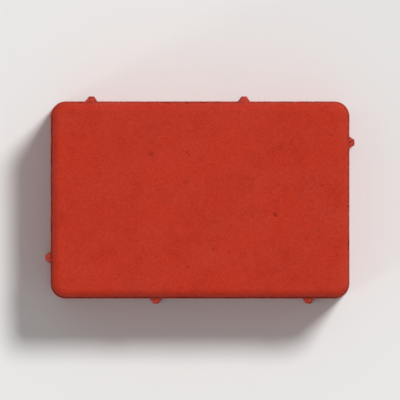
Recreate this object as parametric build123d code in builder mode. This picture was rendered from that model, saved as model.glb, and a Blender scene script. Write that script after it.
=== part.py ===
"""A pressed concrete paving stone: the long stone of a three-length set that is laid in rows.

The stone is one casting. Its upright sides carry spacer nibs that hold the joints open.
Sizes are in millimetres. +Z is up and +X runs along the stone.
The origin is the middle of the underside, where the stone lies on its bed.
"""

import os

from build123d import *

# The laid module, measured from joint centre to joint centre
module_length = 180.0
module_width = 120.0
joint_width = 3.5

# The stone's body
stone_thickness = 60.0
corner_radius = 9.0  # upright corners, seen from above
arris_radius = 5.0  # rounded edge all round the walking face
ledge_width = 1.0  # narrow shelf that the press plate leaves outside the rounded edge
ledge_step = 0.4  # upright step from that shelf to the start of the rounding

# The spacer nibs
nib_projection = 3.0  # how far a nib stands out of its side
nib_root_width = 7.0
nib_tip_width = 3.2
nib_tip_rounding = 0.6  # the tip's upright edges
nib_below_ledge = 0.4  # from the shelf down to the top of a nib
nib_slope_height = 1.6  # the nib's top slopes down this far, from the side to its tip
nib_top_rounding = 1.0  # where the sloping top meets the tip
nib_setback = 26.0  # from the end of the module to the middle of the first nib
nib_pitch = 90.0  # one nib for each length of the set's shortest stone
nib_anchor = 2.0  # how deep a nib is rooted in the body

# Worked out from the sizes above
stone_length = module_length - joint_width
stone_width = module_width - joint_width
ledge_height = stone_thickness - arris_radius - ledge_step
nib_height = ledge_height - nib_below_ledge


def nib_roots(side_module, side_distance):
    """The middles of the nib roots on a side that faces +Y, from its left end.

    Every side is counted from the end that a clockwise walk round the stone reaches first,
    so the nibs of two stones that face each other pass side by side in the joint.
    """
    nib_count = max(1, int(side_module // nib_pitch))
    first = nib_setback - side_module / 2
    return [(first + index * nib_pitch, side_distance) for index in range(nib_count)]


# One nib, upright, with its root on the X axis and its tip towards +Y
with BuildPart() as nib:
    with BuildSketch() as nib_plan:
        with BuildLine() as nib_outline:
            Polyline(
                (-nib_root_width / 2, -nib_anchor),
                (-nib_root_width / 2, 0),
                (-nib_tip_width / 2, nib_projection),
                (nib_tip_width / 2, nib_projection),
                (nib_root_width / 2, 0),
                (nib_root_width / 2, -nib_anchor),
                close=True,
            )
        make_face()
        fillet(nib_plan.vertices().group_by(Axis.Y)[-1], radius=nib_tip_rounding)
    extrude(amount=nib_height)
    with BuildSketch(Plane.YZ) as nib_side_view:
        with BuildLine() as nib_profile:
            Polyline(
                (-nib_anchor, 0),
                (-nib_anchor, nib_height),
                (0, nib_height),
                (nib_projection, nib_height - nib_slope_height),
                (nib_projection, 0),
                close=True,
            )
        make_face()
        tip_corners = nib_side_view.vertices().group_by(Axis.X)[-1]
        fillet(tip_corners.sort_by(Axis.Y)[-1], radius=nib_top_rounding)
    extrude(amount=nib_root_width, both=True, mode=Mode.INTERSECT)

with BuildPart() as paving_stone:
    # The body up to the ledge, then the face above it with its rounded edge
    with BuildSketch() as footprint:
        RectangleRounded(stone_length, stone_width, corner_radius)
    extrude(amount=ledge_height)
    with BuildSketch(Plane.XY.offset(ledge_height)) as face_outline:
        RectangleRounded(
            stone_length - 2 * ledge_width,
            stone_width - 2 * ledge_width,
            corner_radius - ledge_width,
        )
    extrude(amount=stone_thickness - ledge_height)
    fillet(paving_stone.edges().group_by(Axis.Z)[-1], radius=arris_radius)

    # The long sides first, then the ends: half a turn brings the stone back onto itself
    for side_module, side_distance, turn in (
        (module_length, stone_width / 2, 0),
        (module_width, stone_length / 2, 90),
    ):
        with PolarLocations(radius=0, count=2, start_angle=turn):
            with Locations(*nib_roots(side_module, side_distance)):
                add(nib.part)

paving_stone.part.label = "paving_stone"
os.makedirs("parts", exist_ok=True)
export_step(paving_stone.part, "parts/paving_stone.step")
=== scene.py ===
import math

import bpy
from mathutils import Matrix, Vector
from mathutils.geometry import delaunay_2d_cdt


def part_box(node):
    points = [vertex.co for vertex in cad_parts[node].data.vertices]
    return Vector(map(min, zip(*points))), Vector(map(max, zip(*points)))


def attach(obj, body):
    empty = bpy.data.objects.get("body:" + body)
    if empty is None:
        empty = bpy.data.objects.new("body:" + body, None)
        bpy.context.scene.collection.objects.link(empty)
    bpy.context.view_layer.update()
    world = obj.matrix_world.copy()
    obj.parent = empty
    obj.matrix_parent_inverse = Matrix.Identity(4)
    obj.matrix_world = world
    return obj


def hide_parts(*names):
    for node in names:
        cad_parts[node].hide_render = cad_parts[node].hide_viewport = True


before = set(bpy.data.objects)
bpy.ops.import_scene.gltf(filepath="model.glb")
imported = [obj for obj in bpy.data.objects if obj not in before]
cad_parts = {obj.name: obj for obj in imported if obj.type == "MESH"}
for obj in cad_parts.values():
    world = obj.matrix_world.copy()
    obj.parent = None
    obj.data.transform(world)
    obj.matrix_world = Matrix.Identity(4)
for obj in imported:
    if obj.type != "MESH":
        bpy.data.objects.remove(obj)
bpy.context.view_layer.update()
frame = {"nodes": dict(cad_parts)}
stoneLow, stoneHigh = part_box("paving_stone")
print("frame loaded:", ", ".join(frame["nodes"]))


def put(tree, kind, feeds=None, **options):
    # adds a node, sets its options, and feeds its inputs with plain values or other nodes' outputs
    made = tree.nodes.new(kind)
    for option, value in options.items():
        setattr(made, option, value)
    for key, value in (feeds or {}).items():
        socket = made.inputs[key]
        if isinstance(value, bpy.types.NodeSocket):
            tree.links.new(value, socket)
        elif socket.type == "RGBA":
            socket.default_value = (*value, 1.0)
        else:
            socket.default_value = value
    return made


def calc(tree, operation, *values, clamp=False):
    feeds = dict(enumerate(values))
    return put(tree, "ShaderNodeMath", feeds, operation=operation, use_clamp=clamp).outputs[0]


def product(tree, *values):
    result = values[0]
    for value in values[1:]:
        result = calc(tree, "MULTIPLY", result, value)
    return result


def total(tree, *values):
    result = values[0]
    for value in values[1:]:
        result = calc(tree, "ADD", result, value)
    return result


def remap(tree, value, fromLow, fromHigh, toLow=0.0, toHigh=1.0, curve="SMOOTHSTEP"):
    feeds = {"Value": value, "From Min": fromLow, "From Max": fromHigh, "To Min": toLow, "To Max": toHigh}
    return put(tree, "ShaderNodeMapRange", feeds, interpolation_type=curve).outputs[0]


def vectorCalc(tree, operation, first, second):
    secondInput = "Scale" if operation == "SCALE" else 1
    return put(tree, "ShaderNodeVectorMath", {0: first, secondInput: second}, operation=operation).outputs[0]


def axis(tree, vector, name):
    return put(tree, "ShaderNodeSeparateXYZ", {0: vector}).outputs[name]


def perMetre(tree, size):
    # a texture's scale: how many of its lumps or cells lie in a metre
    return calc(tree, "DIVIDE", 1.0, size) if isinstance(size, bpy.types.NodeSocket) else 1.0 / size


def noise(tree, place, size, seed, detail=2.0, roughness=0.5, output=0):
    # smooth random values, mostly 0.3 to 0.7, whose lumps are about the given size
    feeds = {"Vector": place, "W": seed, "Scale": perMetre(tree, size)}
    feeds.update({"Detail": detail, "Roughness": roughness})
    return put(tree, "ShaderNodeTexNoise", feeds, noise_dimensions="4D").outputs[output]


def patches(tree, place, size, seed, start=0.3, full=0.7, least=0.0, most=1.0, curve="SMOOTHSTEP", **grain):
    # noise made into patches: least where it is under start, most where it is over full
    return remap(tree, noise(tree, place, size, seed, **grain), start, full, least, most, curve)


def shifted(tree, place, seed, stride=0.13):
    # another part of an endless pattern for each seed, a stride in metres away
    away = calc(tree, "MULTIPLY", seed, stride)
    return vectorCalc(tree, "ADD", place, put(tree, "ShaderNodeCombineXYZ", {0: away, 1: away}).outputs[0])


# The sockets of the node groups that hold something other than a plain number
socketKinds = {
    "Geometry": "NodeSocketGeometry",
    "Material": "NodeSocketMaterial",
    "Place": "NodeSocketVector",
}


def openGroup(name, kind, inputs, outputs):
    tree = bpy.data.node_groups.new(name, kind)
    for direction, names in (("INPUT", inputs), ("OUTPUT", outputs)):
        for socketName in names:
            socketKind = socketKinds.get(socketName, "NodeSocketFloat")
            tree.interface.new_socket(socketName, in_out=direction, socket_type=socketKind)
    return tree, tree.nodes.new("NodeGroupInput").outputs, tree.nodes.new("NodeGroupOutput").inputs


def useGroup(tree, group, feeds):
    kind = "GeometryNodeGroup" if tree.type == "GEOMETRY" else "ShaderNodeGroup"
    return put(tree, kind, feeds, node_tree=group).outputs


def poreGroup(kind):
    # scattered round spots in a share of the cells: 1 in a spot's middle, 0 outside it
    inputs = ["Place", "Spacing", "Share", "Smallest", "Largest", "Floor", "Ragged", "Seed"]
    tree, given, result = openGroup("poreSpots", kind, inputs, ["Spot"])
    bendSize = calc(tree, "MULTIPLY", given["Spacing"], 0.38)
    bend = noise(tree, given["Place"], bendSize, given["Seed"], output=1)  # a colour: a value for each axis
    bendReach = calc(tree, "MULTIPLY", given["Spacing"], given["Ragged"])
    offset = vectorCalc(tree, "SCALE", vectorCalc(tree, "SUBTRACT", bend, (0.5, 0.5, 0.5)), bendReach)
    bent = vectorCalc(tree, "ADD", given["Place"], offset)
    feeds = {"Vector": shifted(tree, bent, given["Seed"]), "Scale": perMetre(tree, given["Spacing"])}
    cell = put(tree, "ShaderNodeTexVoronoi", feeds).outputs
    random = put(tree, "ShaderNodeSeparateXYZ", {0: cell["Color"]}).outputs
    chosen = calc(tree, "LESS_THAN", random[0], given["Share"])
    radius = remap(tree, random[1], 0.0, 1.0, given["Smallest"], given["Largest"], "LINEAR")
    spot = remap(tree, cell["Distance"], radius, calc(tree, "MULTIPLY", radius, given["Floor"]))
    tree.links.new(calc(tree, "MULTIPLY", chosen, spot), result["Spot"])
    return tree


def spots(tree, group, place, seed, spacing, share, smallest, largest, floor=0.3, ragged=1.1):
    # smallest and largest are radii as parts of the spacing, floor is the part of a spot's width
    # that is level, and ragged is how far its outline strays from round
    feeds = {"Place": place, "Spacing": spacing, "Share": share, "Smallest": smallest, "Largest": largest}
    feeds.update({"Floor": floor, "Ragged": ragged, "Seed": seed})
    return useGroup(tree, group, feeds)["Spot"]


# The casting's form, in metres. Its length, width and height come from the frame.
stone = {
    "cornerRadius": 0.009,
    "arrisRadius": 0.005,
    "ledgeWidth": 0.0010,
    "ledgeStep": 0.0004,
    "lipRadius": 0.00025,      # outer corner of the ledge
    "bedEdgeRadius": 0.0008,   # corner between a side and the underside
    "bedEdgeTurn": 0.5,        # radians from ring to ring round that corner
    "jointWidth": 0.0035,
    "faceCell": 0.0011,        # how closely the walking face is divided
    "wallCell": 0.00076,
    "bedCell": 0.0019,
}

nibs = {
    "projection": 0.003,
    "rootWidth": 0.007,
    "tipWidth": 0.0032,
    "belowLedge": 0.0004,
    "slopeHeight": 0.0016,     # how far a nib's top falls towards its tip
    "topRounding": 0.0010,
    "topTurn": 0.3,            # radians from ring to ring round that rounding
    "setback": 0.026,          # from the end of the laid module to the first nib
    "pitch": 0.090,
}

stoneLength = stoneHigh.x - stoneLow.x - 2 * nibs["projection"]
stoneWidth = stoneHigh.y - stoneLow.y - 2 * nibs["projection"]
ledgeHeight = stoneHigh.z - stone["arrisRadius"] - stone["ledgeStep"]


def evenly(start, end, cell):
    # values from start up to, but not including, end
    count = max(1, round(abs(end - start) / cell))
    return [start + (end - start) * index / count for index in range(count)]


def sideStations(sideLength):
    # (distance along a side from its middle, how far a nib stands out there)
    half = sideLength / 2 - stone["cornerRadius"]
    module = sideLength + stone["jointWidth"]
    corners = [(-half, 0.0)]
    for index in range(max(1, int(module // nibs["pitch"]))):
        middle = nibs["setback"] - module / 2 + index * nibs["pitch"]
        corners.append((middle - nibs["rootWidth"] / 2, 0.0))
        corners.append((middle - nibs["tipWidth"] / 2, nibs["projection"]))
        corners.append((middle + nibs["tipWidth"] / 2, nibs["projection"]))
        corners.append((middle + nibs["rootWidth"] / 2, 0.0))
    corners.append((half, 0.0))
    stations = []
    for (along, rise), (nextAlong, nextRise) in zip(corners, corners[1:]):
        length = math.hypot(nextAlong - along, nextRise - rise)
        for share in evenly(0.0, 1.0, stone["wallCell"] / length):
            stations.append((along + (nextAlong - along) * share, rise + (nextRise - rise) * share))
    return stations


def outlineStations():
    # a clockwise walk round the stone: (place on the plain outline, direction outwards, nib's rise)
    radius = stone["cornerRadius"]
    longSide, shortSide = (stoneLength, stoneWidth / 2), (stoneWidth, stoneLength / 2)
    stations = []
    for quarter in range(4):
        sideLength, reach = longSide if quarter % 2 == 0 else shortSide
        turn = Matrix.Rotation(-quarter * math.pi / 2, 2)
        for along, rise in sideStations(sideLength):
            stations.append((turn @ Vector((along, reach)), turn @ Vector((0, 1)), rise))
        centre = Vector((sideLength / 2 - radius, reach - radius))
        for angle in evenly(0.0, math.pi / 2, stone["wallCell"] / radius):
            outwards = Vector((math.sin(angle), math.cos(angle)))
            stations.append((turn @ (centre + radius * outwards), turn @ outwards, 0.0))
    return stations


def profileRings():
    # from the bed up: (distance in from the plain outline, height, how far nibs may stand out, edge wear)
    top, ledge = stoneHigh.z, ledgeHeight
    arris, edge, lip = stone["arrisRadius"], stone["bedEdgeRadius"], stone["lipRadius"]
    tip, rounding = nibs["projection"], nibs["topRounding"]
    nibTop = ledge - nibs["belowLedge"]
    slope = math.atan2(nibs["slopeHeight"], tip)
    roundingStart = nibTop - nibs["slopeHeight"] - rounding * math.tan((math.pi / 2 - slope) / 2)
    rings = []
    for angle in evenly(0.0, math.pi / 2, stone["bedEdgeTurn"]):
        rings.append((edge * (1 - math.sin(angle)), edge * (1 - math.cos(angle)), tip, 1.0))
    for height in evenly(edge, roundingStart, stone["wallCell"]):
        rings.append((0.0, height, tip, 0.0))
    for angle in evenly(0.0, math.pi / 2 - slope, nibs["topTurn"]):
        height = roundingStart + rounding * math.sin(angle)
        rings.append((0.0, height, tip - rounding * (1 - math.cos(angle)), 0.0))
    for reach in evenly(tip - rounding * (1 - math.sin(slope)), 0.0, stone["wallCell"]):
        rings.append((0.0, nibTop - reach * math.tan(slope), reach, 0.0))
    rings.append((0.0, nibTop, 0.0, 0.3))
    rings.append((0.0, ledge - lip, 0.0, 1.0))
    rings.append((lip, ledge, 0.0, 1.0))
    rings.append((stone["ledgeWidth"], ledge, 0.0, 0.0))
    for angle in evenly(0.0, math.pi / 2, stone["wallCell"] / arris):
        inset = stone["ledgeWidth"] + arris * (1 - math.cos(angle))
        rings.append((inset, top - arris + arris * math.sin(angle), 0.0, 0.0))
    rings.append((stone["ledgeWidth"] + arris, top, 0.0, 0.0))
    return rings


def flatFill(outline, reach, cell):
    # triangles that fill an outline, through points on a honeycomb that keeps clear of its edge
    core = Vector((stoneLength / 2, stoneWidth / 2)) - Vector((1, 1)) * stone["cornerRadius"]
    clear = 0.6 * cell
    rowHeight = cell * math.sqrt(3) / 2
    rows = int((core.y + reach) / rowHeight)
    columns = int((core.x + reach) / cell) + 1
    points = list(outline)
    for row in range(-rows, rows + 1):
        for column in range(-columns, columns + 1):
            point = Vector(((column + 0.5 * (row % 2)) * cell, row * rowHeight))
            past = Vector((max(0.0, abs(point.x) - core.x), max(0.0, abs(point.y) - core.y)))
            if past.length < reach - clear:
                points.append(point)
    border = list(reversed(range(len(outline))))
    mergeDistance = 1e-7
    # sources says which given point each point came from, and owners which outline holds each triangle
    _, _, triangles, sources, _, owners = delaunay_2d_cdt(points, [], [border], 0, mergeDistance, True)
    inside = [triangle for triangle, owner in zip(triangles, owners) if owner]
    return points[len(outline):], [[sources[corner][0] for corner in triangle] for triangle in inside]


def castStone():
    # the walls and the rounded edge as rings of squares, then the two flat faces
    stations = outlineStations()
    rings = profileRings()
    around = len(stations)
    points, edgeWear, nibShare = [], [], []
    for inset, height, nibLimit, wear in rings:
        for place, outwards, rise in stations:
            flat = place + outwards * (min(rise, nibLimit) - inset)
            points.append(flat.to_3d() + Vector((0, 0, height)))
            edgeWear.append(wear)
            nibShare.append(min(rise, nibLimit) / nibs["projection"])
    faces = []
    for ring in range(len(rings) - 1):
        for step in range(around):
            here, there = ring * around + step, ring * around + (step + 1) % around
            faces.append((here, here + around, there + around, there))
    for ring, cell, turnOver in ((0, stone["bedCell"], True), (len(rings) - 1, stone["faceCell"], False)):
        inset, height = rings[ring][:2]
        border = list(range(ring * around, (ring + 1) * around))
        outline = [points[member].to_2d() for member in border]
        inner, triangles = flatFill(outline, stone["cornerRadius"] - inset, cell)
        members = border + list(range(len(points), len(points) + len(inner)))
        points.extend(point.to_3d() + Vector((0, 0, height)) for point in inner)
        for triangle in triangles:
            corners = [members[corner] for corner in triangle]
            faces.append(corners[::-1] if turnOver else corners)
    mesh = bpy.data.meshes.new("paverCasting")
    mesh.from_pydata(points, [], faces)
    mesh.shade_smooth()
    for name, values in (("edge", edgeWear), ("nib", nibShare)):
        values.extend([0.0] * (len(points) - len(values)))
        mesh.attributes.new(name, "FLOAT", "POINT").data.foreach_set("value", values)
    piece = bpy.data.objects.new("paverCasting", mesh)
    bpy.context.scene.collection.objects.link(piece)
    print("casting:", len(mesh.vertices), "points,", len(mesh.polygons), "faces")
    return piece


# The surface's relief, in metres. Every depth is cut into the form, so the stone stays within its size.
relief = {
    "Face Start": ledgeHeight,
    "Face Blend": 0.0008,      # above it, where the walls' texture gives way to the face's
    "Undulation Depth": 0.00022,
    "Undulation Size": 0.028,
    "Grain Depth": 0.00008,
    "Grain Size": 0.0022,
    "Face Pore Depth": 0.00045,
    "Face Pore Spacing": 0.0072,
    "Face Pore Share": 0.30,
    "Wall Depth": 0.00028,
    "Wall Grain Size": 0.0050,
    "Wall Pore Depth": 0.0012,
    "Wall Pore Spacing": 0.0074,
    "Wall Pore Share": 0.60,
    "Wall Cluster Size": 0.022,
    "Dense Full": 0.001,       # how far below the ledge the press packs the walls closest
    "Dense Height": 0.012,     # how far below the ledge it packs them closer at all
    "Drag Depth": 0.00010,
    "Drag Size": 0.0016,
    "Bed Depth": 0.00040,
    "Bed Grain Size": 0.0045,
    "Bed Pore Depth": 0.00064,
    "Bed Pore Share": 0.30,
    "Chip Depth": 0.0008,
    "Chip Size": 0.0065,
    "Lip Height": 0.0005,
    "Lip Size": 0.0035,
    "Lip Reach": 0.0012,       # how far below the ledge the lip starts
    "Lip Full": 0.0005,        # how far below the ledge it has its whole height
    "Seed": 4.0,
}


def namedValue(tree, name):
    made = put(tree, "GeometryNodeInputNamedAttribute", {"Name": name}, data_type="FLOAT")
    return made.outputs["Attribute"]


def tampedFace(tree, given, pores, place, seed):
    # a slow waviness, sand grain and a few open pores
    wave = patches(tree, place, given["Undulation Size"], seed)
    grain = patches(tree, place, given["Grain Size"], seed, detail=3.0, roughness=0.6)
    spacing, share = given["Face Pore Spacing"], given["Face Pore Share"]
    pore = spots(tree, pores, place, seed, spacing, share, smallest=0.07, largest=0.24)
    cut = total(
        tree,
        product(tree, wave, given["Undulation Depth"]),
        product(tree, grain, given["Grain Depth"]),
        product(tree, pore, given["Face Pore Depth"]),
    )
    return cut, pore


def crumblyWalls(tree, given, pores, place, belowLedge, seed):
    # open texture with voids in clusters, dragged upright as the mould was stripped
    crumb = patches(
        tree, place, given["Wall Grain Size"], seed, start=0.25, full=0.75, detail=4.0, roughness=0.62
    )
    cluster = patches(tree, place, given["Wall Cluster Size"], seed, start=0.36, full=0.60)
    lower = remap(tree, belowLedge, given["Dense Full"], given["Dense Height"], 0.25, 1.0)
    share = product(tree, given["Wall Pore Share"], cluster, lower)
    spacing = given["Wall Pore Spacing"]
    closer = calc(tree, "MULTIPLY", spacing, 0.50)
    smallSeed = calc(tree, "ADD", seed, 2.3)
    largePore = spots(tree, pores, place, seed, spacing, share, smallest=0.12, largest=0.40, floor=0.5)
    smallPore = spots(tree, pores, place, smallSeed, closer, share, smallest=0.16, largest=0.42, floor=0.4)
    pore = calc(tree, "MAXIMUM", largePore, calc(tree, "MULTIPLY", smallPore, 0.7))
    stretched = vectorCalc(tree, "MULTIPLY", place, (1.0, 1.0, 0.03))
    drag = patches(tree, stretched, given["Drag Size"], seed, roughness=0.6)
    cut = total(
        tree,
        product(tree, crumb, given["Wall Depth"]),
        product(tree, pore, given["Wall Pore Depth"]),
        product(tree, drag, given["Drag Depth"]),
    )
    return cut, pore, crumb


def boardPrint(tree, given, pores, place, seed):
    # the underside takes the print of a rough board, with voids as far apart as the walls'
    board = patches(tree, place, given["Bed Grain Size"], seed, detail=4.0, roughness=0.65)
    spacing, share = given["Wall Pore Spacing"], given["Bed Pore Share"]
    pore = spots(tree, pores, place, seed, spacing, share, smallest=0.15, largest=0.42)
    cut = total(
        tree,
        product(tree, board, given["Bed Depth"]),
        product(tree, pore, given["Bed Pore Depth"]),
    )
    return cut, pore


def chipsAndLip(tree, given, place, belowLedge, chipSeed, lipSeed):
    # chipped edges and nibs, and the ragged lip that the press squeezes up
    edge, nib = namedValue(tree, "edge"), namedValue(tree, "nib")
    chip = patches(
        tree, place, given["Chip Size"], chipSeed, start=0.52, full=0.70, detail=3.0, roughness=0.55
    )
    chip = calc(tree, "MULTIPLY", chip, calc(tree, "MAXIMUM", edge, nib))
    onLip = calc(tree, "MULTIPLY", edge, remap(tree, belowLedge, given["Lip Reach"], given["Lip Full"]))
    lip = patches(
        tree, place, given["Lip Size"], lipSeed, start=0.42, full=0.68, detail=3.0, roughness=0.6
    )
    return chip, product(tree, lip, onLip, given["Lip Height"])


def reliefTree():
    inputs = ["Geometry", *relief, "Material"]
    tree, given, result = openGroup("stoneRelief", "GeometryNodeTree", inputs, ["Geometry"])
    pores = poreGroup("GeometryNodeTree")
    place = put(tree, "GeometryNodeInputPosition").outputs[0]
    normal = put(tree, "GeometryNodeInputNormal").outputs[0]
    height = axis(tree, place, "Z")
    belowLedge = calc(tree, "SUBTRACT", given["Face Start"], height)
    seed = given["Seed"]
    wallSeed = calc(tree, "ADD", seed, 3.7)
    bedSeed = calc(tree, "ADD", seed, 8.1)
    faceCut, facePore = tampedFace(tree, given, pores, place, seed)
    wallCut, wallPore, crumb = crumblyWalls(tree, given, pores, place, belowLedge, wallSeed)
    bedCut, bedPore = boardPrint(tree, given, pores, place, bedSeed)
    chip, lip = chipsAndLip(tree, given, place, belowLedge, seed, wallSeed)

    # where each kind of surface is
    faceEnd = calc(tree, "ADD", given["Face Start"], given["Face Blend"])
    onFace = remap(tree, height, given["Face Start"], faceEnd)
    onBed = remap(tree, axis(tree, normal, "Z"), -0.5, -0.85)
    onWall = calc(tree, "SUBTRACT", calc(tree, "SUBTRACT", 1.0, onFace), onBed, clamp=True)

    cut = total(
        tree,
        product(tree, onFace, faceCut),
        product(tree, onWall, wallCut),
        product(tree, onBed, bedCut),
        product(tree, chip, given["Chip Depth"]),
    )
    push = vectorCalc(tree, "SCALE", normal, calc(tree, "MULTIPLY", cut, -1.0))
    offset = vectorCalc(tree, "ADD", push, put(tree, "ShaderNodeCombineXYZ", {2: lip}).outputs[0])

    # what the material needs to know of the relief
    hollow = total(
        tree,
        product(tree, onFace, facePore),
        product(tree, onWall, wallPore),
        product(tree, onBed, bedPore),
    )
    shape = given["Geometry"]
    for name, value in (("hollow", hollow), ("chipped", chip), ("crumb", product(tree, onWall, crumb))):
        feeds = {"Geometry": shape, "Name": name, "Value": value}
        stored = put(tree, "GeometryNodeStoreNamedAttribute", feeds, data_type="FLOAT", domain="POINT")
        shape = stored.outputs[0]
    shape = put(tree, "GeometryNodeSetPosition", {"Geometry": shape, "Offset": offset}).outputs[0]
    shape = put(tree, "GeometryNodeRealizeInstances", {"Geometry": shape}).outputs[0]
    feeds = {"Geometry": shape, "Material": given["Material"]}
    shape = put(tree, "GeometryNodeSetMaterial", feeds).outputs[0]
    tree.links.new(shape, result["Geometry"])
    return tree


def carveRelief(casting, material):
    tree = reliefTree()
    modifier = casting.modifiers.new("relief", "NODES")
    modifier.node_group = tree
    values = dict(relief, Material=material)
    for socket in tree.interface.items_tree:
        if socket.in_out == "INPUT" and socket.name in values:
            modifier[socket.identifier] = values[socket.name]
    depsgraph = bpy.context.evaluated_depsgraph_get()
    mesh = bpy.data.meshes.new_from_object(casting.evaluated_get(depsgraph), depsgraph=depsgraph)
    mesh.name = "pavingStone"
    piece = bpy.data.objects.new("pavingStone", mesh)
    bpy.context.scene.collection.objects.link(piece)
    bpy.data.objects.remove(casting)
    print("relief carved:", len(mesh.vertices), "points")
    return piece


# The red, its neighbours and what lies in it. Sizes, heights and depths are in metres.
redConcrete = {
    "red": (0.507, 0.0331, 0.0132),
    "deepRed": (0.37, 0.018, 0.008),
    "paleRed": (0.58, 0.070, 0.040),
    # dark sand grains, and the painted shade and dirt in pits and voids
    "darkGrainAndShade": (0.10, 0.010, 0.007),
    "paleSand": (0.60, 0.20, 0.14),
    # also the painted sheen on the rounded edge and the painted highlight on the ledge and nibs
    "haze": (0.52, 0.12, 0.095),       # cement skin, bloom and dust
    "specular": 0.09,
    "seed": 11.0,

    # where one finish gives way to another
    "faceBlend": (-0.0002, 0.0006),    # above the ledge, from the walls' finish to the face's
    "rimDrop": (0.0010, 0.0040),       # below the top, from no haze on the rim to all of it
    # the nibs' skin and painted highlight grow paler towards their tops
    "nibFade": (0.016, 0.004),         # below the ledge, from the thinnest skin on a nib to the thickest

    # patches: the size of their lumps, the noise at which they start and are full, and what they give
    "broad": dict(size=0.050, start=0.35, full=0.68, most=0.14),
    "blotch": dict(size=0.011, start=0.50, full=0.70, most=0.30, detail=5.0, roughness=0.62),
    "fleck": dict(size=0.0035, start=0.52, full=0.74, most=0.18, detail=4.0, roughness=0.65),
    "bloom": dict(size=0.020, start=0.40, full=0.66, most=0.045, detail=4.0, roughness=0.6),
    "rimPatch": dict(size=0.030, start=0.35, full=0.65, least=0.4, most=1.6, detail=3.0, roughness=0.6),
    "streak": dict(size=0.0034, start=0.30, full=0.78, detail=3.0, roughness=0.6),
    "dustPatch": dict(size=0.026, start=0.40, full=0.70, detail=3.0, roughness=0.6),
    "openPatch": dict(size=0.012, start=0.35, full=0.65, least=0.08, most=0.60),
    "matt": dict(size=0.011, start=0.3, full=0.7, least=0.66, most=0.78, detail=5.0, roughness=0.62),

    # spots: how far apart their cells are, the share of cells that have one,
    # and the smallest and largest radius as parts of that distance
    "stain": dict(spacing=0.016, share=0.20, smallest=0.08, largest=0.22, floor=0.0),
    "facePit": dict(spacing=0.0024, share=0.20, smallest=0.06, largest=0.17, ragged=0.4),
    "wallPit": dict(spacing=0.0036, smallest=0.10, largest=0.34, floor=0.05),  # openPatch is their share

    # how strongly each tints the colour under it
    # cement skin and painted sheen on the foot of the rounded edge
    "rimSkinAndSheen": 0.13,                   # on the foot of the rounded edge
    # cement skin on the ledge, the bed's edge and the nibs, with painted highlight on the ledge and the
    # nibs' tops
    "edgeSkinAndHighlight": 0.28,                   # cement skin on the ledge, the bed's edge and the nibs
    "dustHaze": 0.20,
    "stainTint": 0.50,
    "crumbTint": 0.22,
    "chipTint": 0.40,
    "darkSandTint": 0.40,
    "paleSandTint": 0.13,
    "paleGritTint": 0.16,
    # how much painted shade and dirt darken the pits and the carved pores
    "pitShadeAndDirt": (0.55, 0.50),           # face, walls
    "poreShadeAndDirt": (0.42, 0.26),          # face, walls

    # grains: their sizes, the share that is dark or pale, and how much their tone and the painted shade and
    # light across them darken or brighten the colour
    "sandSize": 0.0005,
    "gritSize": 0.0022,
    "roughSize": 0.0015,
    "dustSize": 0.0006,
    "darkSandShare": 0.06,
    "paleSandShare": 0.03,
    "paleGritShare": 0.20,
    "sandTone": (0.88, 1.10),          # darkest, palest
    # painted shade between grains of sand and painted light on top of them
    "cleftShade": (-0.06, 0.055),       # between grains of sand, on top of them
    "gritTone": (-0.10, 0.06),         # darkest, palest
    # painted shade deep in the walls' rough texture and painted light on top of it
    "creviceShade": (-0.20, 0.10),      # deep in the walls' rough texture, on top of it

    # depths of the relief that is finer than the mesh
    "sandDepth": (0.00006, 0.00013),   # face, walls
    "gritDepth": (0.00008, 0.00025),   # face, walls
    "dustDepth": 0.00016,
    "roughDepth": 0.00050,             # walls only
    "facePitDepth": 0.00030,
    "wallPitDepth": 0.0005,
}


def sandGroup():
    # packed grains: each has its own tone, and a height that falls off towards its edge
    inputs, outputs = ["Place", "Size", "Seed"], ["Tone", "Height"]
    tree, given, result = openGroup("sandGrains", "ShaderNodeTree", inputs, outputs)
    feeds = {"Vector": shifted(tree, given["Place"], given["Seed"]), "Scale": perMetre(tree, given["Size"])}
    grain = put(tree, "ShaderNodeTexVoronoi", feeds).outputs
    random = put(tree, "ShaderNodeSeparateXYZ", {0: grain["Color"]}).outputs
    dome = remap(tree, grain["Distance"], 0.75, 0.0)
    proud = remap(tree, random[1], 0.0, 1.0, 0.35, 1.0, "LINEAR")
    tree.links.new(random[0], result["Tone"])
    tree.links.new(calc(tree, "MULTIPLY", dome, proud), result["Height"])
    return tree


def blend(tree, factor, first, second, mode="MIX"):
    # 6 and 7 are the node's colour inputs, and 2 is its colour output
    feeds = {0: factor, 6: first, 7: second}
    return put(tree, "ShaderNodeMix", feeds, data_type="RGBA", blend_type=mode).outputs[2]


def attribute(tree, name):
    return put(tree, "ShaderNodeAttribute", attribute_name=name).outputs["Fac"]


def faceOrWall(tree, surface, pair):
    return remap(tree, surface["offFace"], 0.0, 1.0, *pair)


def readSurface(tree):
    # what the layers of the finish share: where a point lies, the grains there and the group for pits
    look, seed = redConcrete, redConcrete["seed"]
    place = put(tree, "ShaderNodeTexCoord").outputs["Object"]
    height = axis(tree, place, "Z")
    onFace = remap(tree, height, *[ledgeHeight + rise for rise in look["faceBlend"]])
    grains = sandGroup()
    return {
        "place": place,
        "height": height,
        "onFace": onFace,
        "offFace": calc(tree, "SUBTRACT", 1.0, onFace),
        "sand": useGroup(tree, grains, {"Place": place, "Size": look["sandSize"], "Seed": seed + 4}),
        "grit": useGroup(tree, grains, {"Place": place, "Size": look["gritSize"], "Seed": seed + 5}),
        "rough": noise(tree, place, look["roughSize"], seed + 12, 4.0, 0.68),
        "pits": poreGroup("ShaderNodeTree"),
    }


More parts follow.
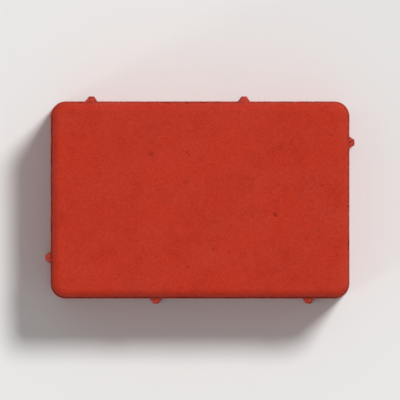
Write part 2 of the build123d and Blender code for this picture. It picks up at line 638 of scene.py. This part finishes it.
def unevenPigment(tree, surface):
    # pigment that isn't quite evenly mixed, pale cement bloom and faint stains
    look, seed, place = redConcrete, redConcrete["seed"], surface["place"]
    color = blend(tree, patches(tree, place, seed=seed, **look["broad"]), look["red"], look["deepRed"])
    color = blend(tree, patches(tree, place, seed=seed + 1, **look["blotch"]), color, look["deepRed"])
    color = blend(tree, patches(tree, place, seed=seed + 2, **look["fleck"]), color, look["paleRed"])
    color = blend(tree, patches(tree, place, seed=seed + 14, **look["bloom"]), color, look["haze"])
    stain = spots(tree, surface["pits"], place, seed + 3, **look["stain"])
    return blend(tree, calc(tree, "MULTIPLY", stain, look["stainTint"]), color, look["deepRed"])


def skinDustAndSheen(tree, surface, color):
    look, seed, place, height = redConcrete, redConcrete["seed"], surface["place"], surface["height"]

    # cement skin on the ledge and the bed's edge and on the nibs, where it thins downwards, with painted
    # highlight on the ledge and nibs, and cement skin with painted sheen in patches on the foot of the
    # rounded edge
    rim = remap(tree, height, *[stoneHigh.z - drop for drop in look["rimDrop"]])
    rimPatch = patches(tree, place, seed=seed + 13, **look["rimPatch"])
    # cement skin and painted sheen on the rounded edge
    rim = product(tree, surface["onFace"], rim, rimPatch, look["rimSkinAndSheen"])
    nibFade = remap(tree, height, *[ledgeHeight - drop for drop in look["nibFade"]], 0.45, 1.0)
    nibSkinAndHighlight = product(tree, remap(tree, attribute(tree, "nib"), 0.0, 0.35), nibFade)
    # cement skin and painted highlight on the ledge, the bed's edge and the nibs
    skinAndHighlight = product(tree, calc(tree, "MAXIMUM", attribute(tree, "edge"), nibSkinAndHighlight), look["edgeSkinAndHighlight"])

    # the stripped walls are dustier in patches, with faint upright streaks
    upright = vectorCalc(tree, "MULTIPLY", place, (1.0, 1.0, 0.06))
    streak = patches(tree, upright, seed=seed + 6, **look["streak"])
    dust = calc(tree, "MULTIPLY", streak, patches(tree, place, seed=seed + 9, **look["dustPatch"]))
    dust = product(tree, surface["offFace"], remap(tree, dust, 0.0, 0.6, 0.0, look["dustHaze"]))
    return blend(tree, calc(tree, "ADD", dust, calc(tree, "ADD", rim, skinAndHighlight)), color, look["haze"])


def grainTonesAndShade(tree, surface, color):
    # every grain has its own tone, and a few are dark or pale all through; painted shade darkens the gaps
    # between grains and the depths of the walls' rough texture, and painted light brightens their tops
    look, sand, grit, rough = redConcrete, surface["sand"], surface["grit"], surface["rough"]
    tone = remap(tree, sand["Tone"], 0.0, 1.0, *look["sandTone"], "LINEAR")
    # painted shade between sand grains, painted light on their tops
    cleftShading = remap(tree, sand["Height"], 0.0, 0.40, *look["cleftShade"])
    coarse = remap(tree, grit["Tone"], 0.0, 1.0, *look["gritTone"], "LINEAR")
    packed = calc(tree, "ADD", rough, calc(tree, "MULTIPLY", grit["Height"], 0.25))
    # painted shade deep in the walls' rough texture, painted light on top of it
    creviceShading = remap(tree, packed, 0.38, 0.72, *look["creviceShade"], "LINEAR")
    wallToneAndShade = calc(tree, "MULTIPLY", calc(tree, "ADD", coarse, creviceShading), surface["offFace"])
    # the grains' own tone together with the painted shade and light across them
    shade = total(tree, tone, cleftShading, wallToneAndShade)
    grey = put(tree, "ShaderNodeCombineColor", {0: shade, 1: shade, 2: shade}).outputs[0]
    color = blend(tree, 1.0, color, grey, "MULTIPLY")

    bareSand = remap(tree, sand["Height"], 0.28, 0.58)
    bareGrit = remap(tree, calc(tree, "ADD", grit["Height"], rough), 1.00, 1.10)
    isDarkSand = calc(tree, "LESS_THAN", sand["Tone"], look["darkSandShare"])
    isPaleSand = calc(tree, "GREATER_THAN", sand["Tone"], 1.0 - look["paleSandShare"])
    isPaleGrit = calc(tree, "GREATER_THAN", grit["Tone"], 1.0 - look["paleGritShare"])
    darkSand = product(tree, bareSand, isDarkSand, look["darkSandTint"])
    paleSand = product(tree, bareSand, isPaleSand, look["paleSandTint"])
    paleGrit = product(tree, surface["offFace"], bareGrit, isPaleGrit, look["paleGritTint"])
    color = blend(tree, darkSand, color, look["darkGrainAndShade"])
    return blend(tree, calc(tree, "MAXIMUM", paleSand, paleGrit), color, look["paleSand"])


def pitsAndGaps(tree, surface):
    # pinholes in the face, round pits in the walls, and the gaps where the walls' texture is loosest
    look, seed, place = redConcrete, redConcrete["seed"], surface["place"]
    facePit = spots(tree, surface["pits"], place, seed + 7, **look["facePit"])
    openShare = patches(tree, place, seed=seed + 11, **look["openPatch"])
    wallPit = spots(tree, surface["pits"], place, seed + 8, share=openShare, **look["wallPit"])
    packing = calc(tree, "ADD", surface["rough"], calc(tree, "MULTIPLY", surface["sand"]["Height"], 0.16))
    gapShare = remap(tree, openShare, look["openPatch"]["least"], look["openPatch"]["most"], 0.25, 1.0)
    gap = product(tree, remap(tree, packing, 0.43, 0.33), gapShare)
    return facePit, wallPit, gap


def dirtWearAndShade(tree, surface, color, facePit, wallPit, gap):
    # crumbled walls are deeper in colour, fresh chips are paler, and pits and voids are darkened with
    # painted shade and dirt
    look = redConcrete
    color = blend(tree, product(tree, attribute(tree, "crumb"), look["crumbTint"]), color, look["deepRed"])
    color = blend(tree, product(tree, attribute(tree, "chipped"), look["chipTint"]), color, look["paleRed"])
    # painted shade and dirt in the walls' pits and loose gaps
    wallShadeAndDirt = calc(tree, "MAXIMUM", remap(tree, wallPit, 0.10, 0.60), remap(tree, gap, 0.08, 0.40))
    pit = total(
        tree,
        product(tree, surface["onFace"], facePit),
        product(tree, surface["offFace"], wallShadeAndDirt),
    )
    pitShadeAndDirt = product(tree, pit, faceOrWall(tree, surface, look["pitShadeAndDirt"]))
    color = blend(tree, pitShadeAndDirt, color, look["darkGrainAndShade"])
    # painted shade and dirt in the carved pores
    pore = remap(tree, attribute(tree, "hollow"), 0.25, 0.75)
    poreShadeAndDirt = product(tree, pore, faceOrWall(tree, surface, look["poreShadeAndDirt"]))
    return blend(tree, poreShadeAndDirt, color, look["darkGrainAndShade"])


def fineRelief(tree, surface, facePit, wallPit, gap):
    # a height in metres, for what is finer than the mesh
    look, sand, grit = redConcrete, surface["sand"], surface["grit"]
    dust = noise(tree, surface["place"], look["dustSize"], look["seed"] + 10, 4.0, 0.72)
    return total(
        tree,
        product(tree, sand["Height"], faceOrWall(tree, surface, look["sandDepth"])),
        product(tree, dust, look["dustDepth"]),
        product(tree, grit["Height"], faceOrWall(tree, surface, look["gritDepth"])),
        product(tree, surface["onFace"], facePit, -look["facePitDepth"]),
        product(tree, surface["offFace"], surface["rough"], look["roughDepth"]),
        product(tree, surface["offFace"], calc(tree, "MAXIMUM", wallPit, gap), -look["wallPitDepth"]),
    )


def redConcreteMaterial():
    material = bpy.data.materials.new("redConcrete")
    material.use_nodes = True
    tree = material.node_tree
    tree.nodes.clear()
    surface = readSurface(tree)
    color = unevenPigment(tree, surface)
    color = skinDustAndSheen(tree, surface, color)
    color = grainTonesAndShade(tree, surface, color)
    hollows = pitsAndGaps(tree, surface)
    color = dirtWearAndShade(tree, surface, color, *hollows)
    fine = fineRelief(tree, surface, *hollows)
    bump = put(tree, "ShaderNodeBump", {"Strength": 1.0, "Distance": 1.0, "Height": fine}).outputs[0]

    # the seed of the blotches, so that they are more matt than the rest
    seed = redConcrete["seed"] + 1
    matt = patches(tree, surface["place"], seed=seed, curve="LINEAR", **redConcrete["matt"])
    feeds = {"Base Color": color, "Roughness": matt, "Normal": bump}
    feeds["Specular IOR Level"] = redConcrete["specular"]
    shader = put(tree, "ShaderNodeBsdfPrincipled", feeds).outputs[0]
    put(tree, "ShaderNodeOutputMaterial", {"Surface": shader})
    print("red concrete mixed:", len(tree.nodes), "nodes")
    return material


studio = {
    "floorSize": 6.0,
    "floorColor": (0.80, 0.80, 0.79),
    "floorRoughness": 0.9,
    "floorSpecular": 0.1,
    "backdropColor": (0.80, 0.80, 0.79),
    "fillColor": (1.0, 1.0, 1.0),
    "fillAtHorizon": 0.10,     # soft light from all round, weakest from the sides
    "fillUpright": 0.46,
    # across, rise and turn are degrees: a lamp's width in the sky, its height above the floor,
    # and how far round it stands from +X towards the back
    "keyLamp": dict(power=2.45, across=14.0, rise=54.0, turn=50.0),
    "sideLamp": dict(power=0.50, across=12.0, rise=16.0, turn=208.0),
    "viewWidth": 0.236,
    "viewHeight": 0.6,
}


def studioFloor():
    material = bpy.data.materials.new("studioFloor")
    material.use_nodes = True
    shader = material.node_tree.nodes["Principled BSDF"]
    shader.inputs["Base Color"].default_value = (*studio["floorColor"], 1.0)
    shader.inputs["Roughness"].default_value = studio["floorRoughness"]
    shader.inputs["Specular IOR Level"].default_value = studio["floorSpecular"]
    half = studio["floorSize"] / 2
    corners = [(-half, -half, 0), (half, -half, 0), (half, half, 0), (-half, half, 0)]
    mesh = bpy.data.meshes.new("studioFloor")
    mesh.from_pydata(corners, [], [(0, 1, 2, 3)])
    mesh.materials.append(material)
    floor = bpy.data.objects.new("studioFloor", mesh)
    bpy.context.scene.collection.objects.link(floor)
    return floor


def studioLight():
    # the camera and reflections see a pale backdrop, and everything else gets the soft fill
    world = bpy.data.worlds.new("studioLight")
    world.use_nodes = True
    tree = world.node_tree
    tree.nodes.clear()
    rays = put(tree, "ShaderNodeLightPath").outputs
    seen = calc(tree, "MAXIMUM", rays["Is Camera Ray"], rays["Is Glossy Ray"])
    seen = calc(tree, "MAXIMUM", seen, rays["Is Transmission Ray"])
    direction = put(tree, "ShaderNodeTexCoord").outputs["Generated"]
    slope = calc(tree, "ABSOLUTE", axis(tree, direction, "Z"))
    strength = remap(tree, slope, 0.0, 1.0, studio["fillAtHorizon"], studio["fillUpright"], "LINEAR")
    feeds = {"Color": studio["fillColor"], "Strength": strength}
    fill = put(tree, "ShaderNodeBackground", feeds).outputs[0]
    feeds = {"Color": studio["backdropColor"], "Strength": 1.0}
    backdrop = put(tree, "ShaderNodeBackground", feeds).outputs[0]
    mixed = put(tree, "ShaderNodeMixShader", {0: seen, 1: fill, 2: backdrop}).outputs[0]
    put(tree, "ShaderNodeOutputWorld", {"Surface": mixed})
    bpy.context.scene.world = world


def sunLamp(name):
    settings = studio[name]
    lamp = bpy.data.lights.new(name, "SUN")
    lamp.energy = settings["power"]
    lamp.angle = math.radians(settings["across"])
    rise, turn = math.radians(settings["rise"]), math.radians(settings["turn"])
    towards = Vector((math.cos(rise) * math.cos(turn), math.cos(rise) * math.sin(turn), math.sin(rise)))
    light = bpy.data.objects.new(name, lamp)
    light.location = towards
    light.rotation_euler = towards.to_track_quat("Z", "Y").to_euler()
    bpy.context.scene.collection.objects.link(light)


def overheadCamera():
    lens = bpy.data.cameras.new("overhead")
    lens.type = "ORTHO"
    lens.ortho_scale = studio["viewWidth"]
    camera = bpy.data.objects.new("overhead", lens)
    camera.location = (0.0, 0.0, studio["viewHeight"])
    bpy.context.scene.collection.objects.link(camera)
    bpy.context.scene.camera = camera


pavingStone = carveRelief(castStone(), redConcreteMaterial())
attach(pavingStone, "root")
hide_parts("paving_stone")

floor = studioFloor()
studioLight()
sunLamp("keyLamp")
sunLamp("sideLamp")
overheadCamera()
bpy.context.scene.view_settings.view_transform = "Standard"
print("studio set")
